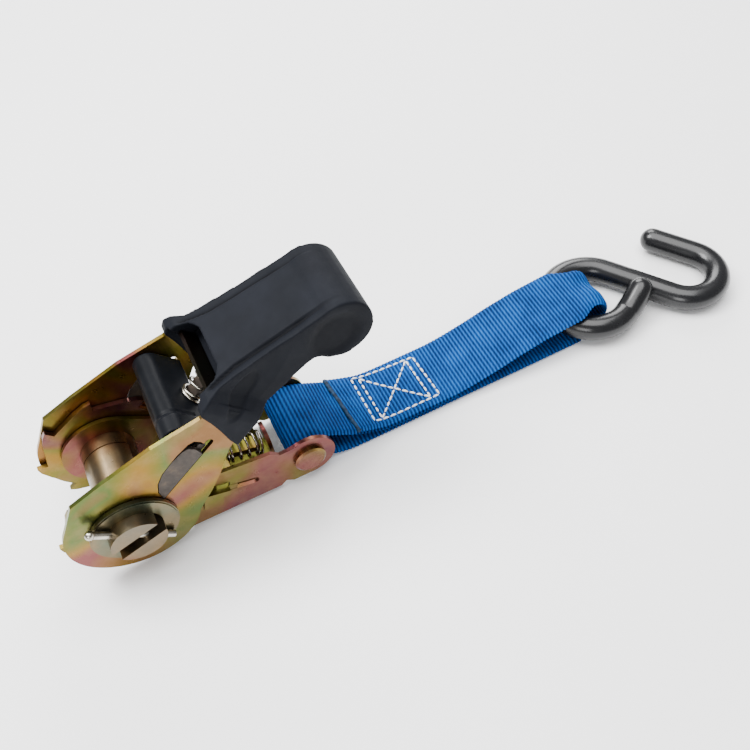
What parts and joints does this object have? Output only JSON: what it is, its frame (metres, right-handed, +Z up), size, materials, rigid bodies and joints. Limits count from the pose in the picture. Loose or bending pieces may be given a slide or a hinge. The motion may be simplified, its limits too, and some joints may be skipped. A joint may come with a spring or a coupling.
{
  "type": "ratchet tie down",
  "caption": "Ratchet tie down for narrow webbing: sheet-metal ratchet with a rubber grip, sprung pawls and slotted spool, and a short sewn strap with a coated S-hook.",
  "frame": {"origin": "middle of the bounding box on the ground the assembly lies on", "axes": "+X from the ratchet spool towards the hook, +Y along the spool axis away from the washer side, +Z up"},
  "size_m": [0.2501, 0.0476, 0.0742],
  "materials": {
    "base_plate": "yellow chromate zinc on steel sheet, pink and olive patches, satin gloss",
    "handle_plate": "yellow chromate zinc on steel sheet, olive and gold patches, satin gloss",
    "wheel_plate": "yellow chromate zinc, satin",
    "bolt": "yellow chromate zinc, satin",
    "washer": "grey-green zinc, satin",
    "spool_steel": "turned steel, zinc plated, satin",
    "bright_steel": "bright zinc plated wire",
    "bare_steel": "plain steel",
    "pawl_steel": "dark brown oxidised steel, rough",
    "grip_rubber": "charcoal moulded rubber, fine texture, matte",
    "trigger_plastic": "black moulded plastic, satin",
    "webbing": "blue woven polyester webbing with cross ribs",
    "hook_vinyl": "glossy black vinyl dip",
    "stitching": "white polyester thread"
  },
  "bodies": {
    "base": {"base_frame": "base_plate", "strap_bolt": "bolt", "bolt_nut": "bolt", "bolt_sleeve": "bare_steel", "lock_spring": "bright_steel"},
    "spool": {"spool_half_upper": "spool_steel", "spool_half_lower": "spool_steel", "ratchet_wheel_near": "wheel_plate", "ratchet_wheel_far": "wheel_plate", "spool_washer": "washer", "cotter_pin": "bright_steel"},
    "handle": {"handle_frame": "handle_plate", "grip": "grip_rubber", "drive_spring": "bright_steel"},
    "trigger": {"drive_pawl": "pawl_steel", "trigger_bar": "trigger_plastic"},
    "lock": {"lock_pawl": "base_plate"},
    "strap": {"strap_bolt_loop": "webbing", "strap_lower_run": "webbing", "strap_upper_run": "webbing", "strap_hook_loop": "webbing"},
    "hook": {"hook_wire": "bare_steel", "hook_coating": "hook_vinyl"}
  },
  "joints": [
    {"name": "spool_spin", "type": "hinge", "parent": "base", "child": "spool", "pos_m": [-0.10322, 0, 0.0223], "axis": [0, -1, 0], "continuous": true},
    {"name": "handle_swing", "type": "hinge", "parent": "base", "child": "handle", "pos_m": [-0.10322, 0, 0.0223], "axis": [0, -1, 0], "range_deg": [-26, 120]},
    {"name": "trigger_pull", "type": "slide", "parent": "handle", "child": "trigger", "axis": [0.766, 0, 0.6428], "range_m": [0, 0.003], "stiffness_N_per_m": 900, "springref_m": -0.004, "deforming": ["drive_spring"]},
    {"name": "lock_slide", "type": "slide", "parent": "base", "child": "lock", "axis": [0.9659, 0, -0.2588], "range_m": [0, 0.0035], "stiffness_N_per_m": 900, "springref_m": -0.004, "deforming": ["lock_spring"]},
    {"name": "strap_swing", "type": "hinge", "parent": "base", "child": "strap", "pos_m": [-0.04572, 0, 0.0113], "axis": [0, -1, 0], "range_deg": [-60, 10]},
    {"name": "hook_swing", "type": "hinge", "parent": "strap", "child": "hook", "pos_m": [0.05778, 0.0018, 0.00625], "axis": [0, -1, 0], "range_deg": [0, 15]}
  ]
}
